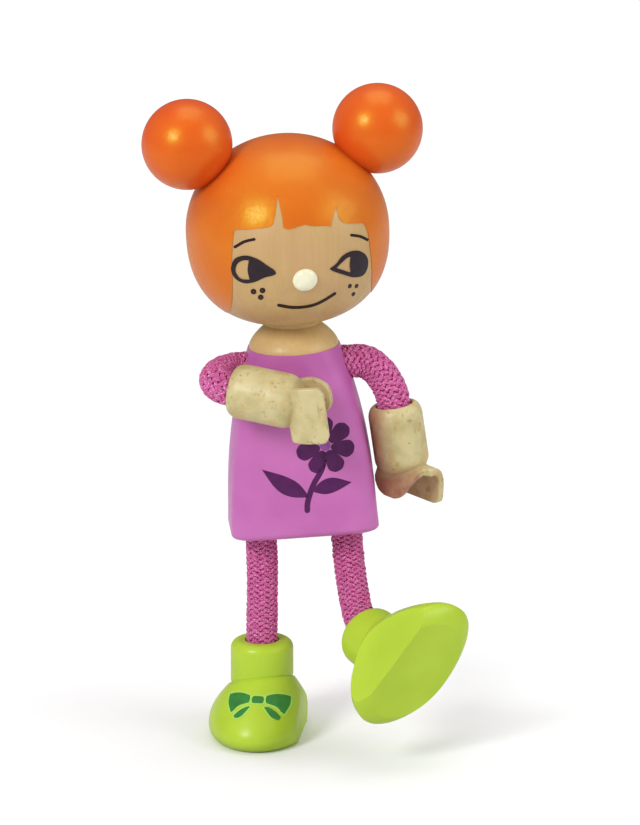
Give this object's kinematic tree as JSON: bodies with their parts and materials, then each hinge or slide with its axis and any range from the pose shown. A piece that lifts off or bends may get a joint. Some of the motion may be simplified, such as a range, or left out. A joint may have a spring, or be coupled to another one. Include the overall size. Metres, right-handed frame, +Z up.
{
  "type": "bendy doll",
  "caption": "Small turned wooden doll with ball hair buns, a flared dress and bendable cord arms and legs, standing on one foot.",
  "frame": {"origin": "on the right sole, under the right ankle", "axes": "+Z up, square to the right sole; the doll looks along -Y; +X is the doll's left"},
  "size_m": [0.0638, 0.0487, 0.1304],
  "materials": {
    "dress_paint": "satin paint over turned wood",
    "hair_paint": "glossy paint over turned wood",
    "pale_wood": "clear satin",
    "magenta_cord": "braided cord",
    "steel_wire": "drawn wire",
    "ivory": "glossy",
    "speckled_hand": "moulded, with wood flour specks",
    "lime_paint": "satin paint over wood"
  },
  "bodies": {
    "torso": {"torso": "dress_paint", "neck_dowel": "pale_wood", "chest_cord": "magenta_cord", "chest_wire": "steel_wire"},
    "head": {"head": "hair_paint", "right_bun": "hair_paint", "left_bun": "hair_paint", "right_bun_dowel": "pale_wood", "left_bun_dowel": "pale_wood", "nose": "ivory"},
    "right_shoulder": {"right_shoulder_cord": "magenta_cord", "right_shoulder_wire": "steel_wire"},
    "right_upper_arm": {"right_upper_arm_cord": "magenta_cord", "right_upper_arm_wire": "steel_wire"},
    "right_forearm": {"right_forearm_cord": "magenta_cord", "right_forearm_wire": "steel_wire"},
    "right_wrist": {"right_wrist_cord": "magenta_cord", "right_wrist_wire": "steel_wire", "right_hand": "speckled_hand"},
    "right_hip": {"right_hip_cord": "magenta_cord", "right_hip_wire": "steel_wire"},
    "right_thigh": {"right_thigh_cord": "magenta_cord", "right_thigh_wire": "steel_wire"},
    "right_shin": {"right_shin_cord": "magenta_cord", "right_shin_wire": "steel_wire"},
    "right_ankle": {"right_ankle_cord": "magenta_cord", "right_ankle_wire": "steel_wire", "right_shoe": "lime_paint"},
    "left_shoulder": {"left_shoulder_cord": "magenta_cord", "left_shoulder_wire": "steel_wire"},
    "left_upper_arm": {"left_upper_arm_cord": "magenta_cord", "left_upper_arm_wire": "steel_wire"},
    "left_forearm": {"left_forearm_cord": "magenta_cord", "left_forearm_wire": "steel_wire"},
    "left_wrist": {"left_wrist_cord": "magenta_cord", "left_wrist_wire": "steel_wire", "left_hand": "speckled_hand"},
    "left_hip": {"left_hip_cord": "magenta_cord", "left_hip_wire": "steel_wire"},
    "left_thigh": {"left_thigh_cord": "magenta_cord", "left_thigh_wire": "steel_wire"},
    "left_shin": {"left_shin_cord": "magenta_cord", "left_shin_wire": "steel_wire"},
    "left_ankle": {"left_ankle_cord": "magenta_cord", "left_ankle_wire": "steel_wire", "left_shoe": "lime_paint"}
  },
  "joints": [
    {"name": "head_turn", "type": "hinge", "parent": "torso", "child": "head", "pos_m": [0.00518, 0.00067, 0.10243], "axis": [-0.0506, 0, 0.9987], "continuous": true},
    {"name": "right_shoulder_swivel", "type": "hinge", "parent": "torso", "child": "right_shoulder", "pos_m": [-0.00399, -0.00017, 0.07445], "axis": [-0.9956, -0.0785, -0.0504], "range_deg": [-4, 30]},
    {"name": "right_shoulder_bend", "type": "hinge", "parent": "right_shoulder", "child": "right_upper_arm", "pos_m": [-0.00399, -0.00017, 0.07445], "axis": [-0.0104, -0.4436, 0.8962], "range_deg": [-50, 0]},
    {"name": "right_elbow_bend", "type": "hinge", "parent": "right_upper_arm", "child": "right_forearm", "pos_m": [-0.00852, -0.00547, 0.07412], "axis": [0.0669, -0.0608, 0.9959], "range_deg": [-50, 0]},
    {"name": "right_wrist_bend", "type": "hinge", "parent": "right_forearm", "child": "right_wrist", "pos_m": [-0.00595, -0.01179, 0.07348], "axis": [-0.0104, -0.4436, 0.8962], "range_deg": [-45, 3]},
    {"name": "right_hip_swivel", "type": "hinge", "parent": "torso", "child": "right_hip", "pos_m": [-0.0001, 0, 0.0393], "axis": [0.0506, 0, -0.9987], "range_deg": [-45, 45]},
    {"name": "right_hip_bend", "type": "hinge", "parent": "right_hip", "child": "right_thigh", "pos_m": [-0.0001, 0, 0.0393], "axis": [-0.9956, -0.0785, -0.0504], "range_deg": [-45, 45]},
    {"name": "right_knee_bend", "type": "hinge", "parent": "right_thigh", "child": "right_shin", "pos_m": [0.0001, 0, 0.02925], "axis": [-0.9969, -0.0786, 0.0081], "range_deg": [-45, 45]},
    {"name": "right_ankle_bend", "type": "hinge", "parent": "right_shin", "child": "right_ankle", "pos_m": [0, 0, 0.0192], "axis": [-0.9969, -0.0786, 0], "range_deg": [-45, 45]},
    {"name": "left_shoulder_swivel", "type": "hinge", "parent": "torso", "child": "left_shoulder", "pos_m": [0.01883, 0.00163, 0.07561], "axis": [0.9956, 0.0785, 0.0504], "range_deg": [-60, 60]},
    {"name": "left_shoulder_bend", "type": "hinge", "parent": "left_shoulder", "child": "left_upper_arm", "pos_m": [0.01883, 0.00163, 0.07561], "axis": [-0.078, 0.9969, -0.0114], "range_deg": [-45, 0]},
    {"name": "left_elbow_bend", "type": "hinge", "parent": "left_upper_arm", "child": "left_forearm", "pos_m": [0.02403, 0.0012, 0.07314], "axis": [0.0444, 0.9856, -0.1633], "range_deg": [-50, 0]},
    {"name": "left_wrist_bend", "type": "hinge", "parent": "left_forearm", "child": "left_wrist", "pos_m": [0.02631, 0.00058, 0.0677], "axis": [-0.078, 0.9969, -0.0114], "range_deg": [-50, 0]},
    {"name": "left_hip_swivel", "type": "hinge", "parent": "torso", "child": "left_hip", "pos_m": [0.01682, 0.00133, 0.04016], "axis": [0.0506, 0, -0.9987], "range_deg": [-45, 45]},
    {"name": "left_hip_bend", "type": "hinge", "parent": "left_hip", "child": "left_thigh", "pos_m": [0.01682, 0.00133, 0.04016], "axis": [-0.8692, -0.4924, -0.044], "range_deg": [-30, 25]},
    {"name": "left_knee_bend", "type": "hinge", "parent": "left_thigh", "child": "left_shin", "pos_m": [0.01759, -0.0008, 0.02983], "axis": [-0.89, -0.4513, 0.0656], "range_deg": [-40, 25]},
    {"name": "left_ankle_bend", "type": "hinge", "parent": "left_shin", "child": "left_ankle", "pos_m": [0.02048, -0.00727, 0.02248], "axis": [-0.8692, -0.4924, -0.044], "range_deg": [-45, 25]}
  ]
}
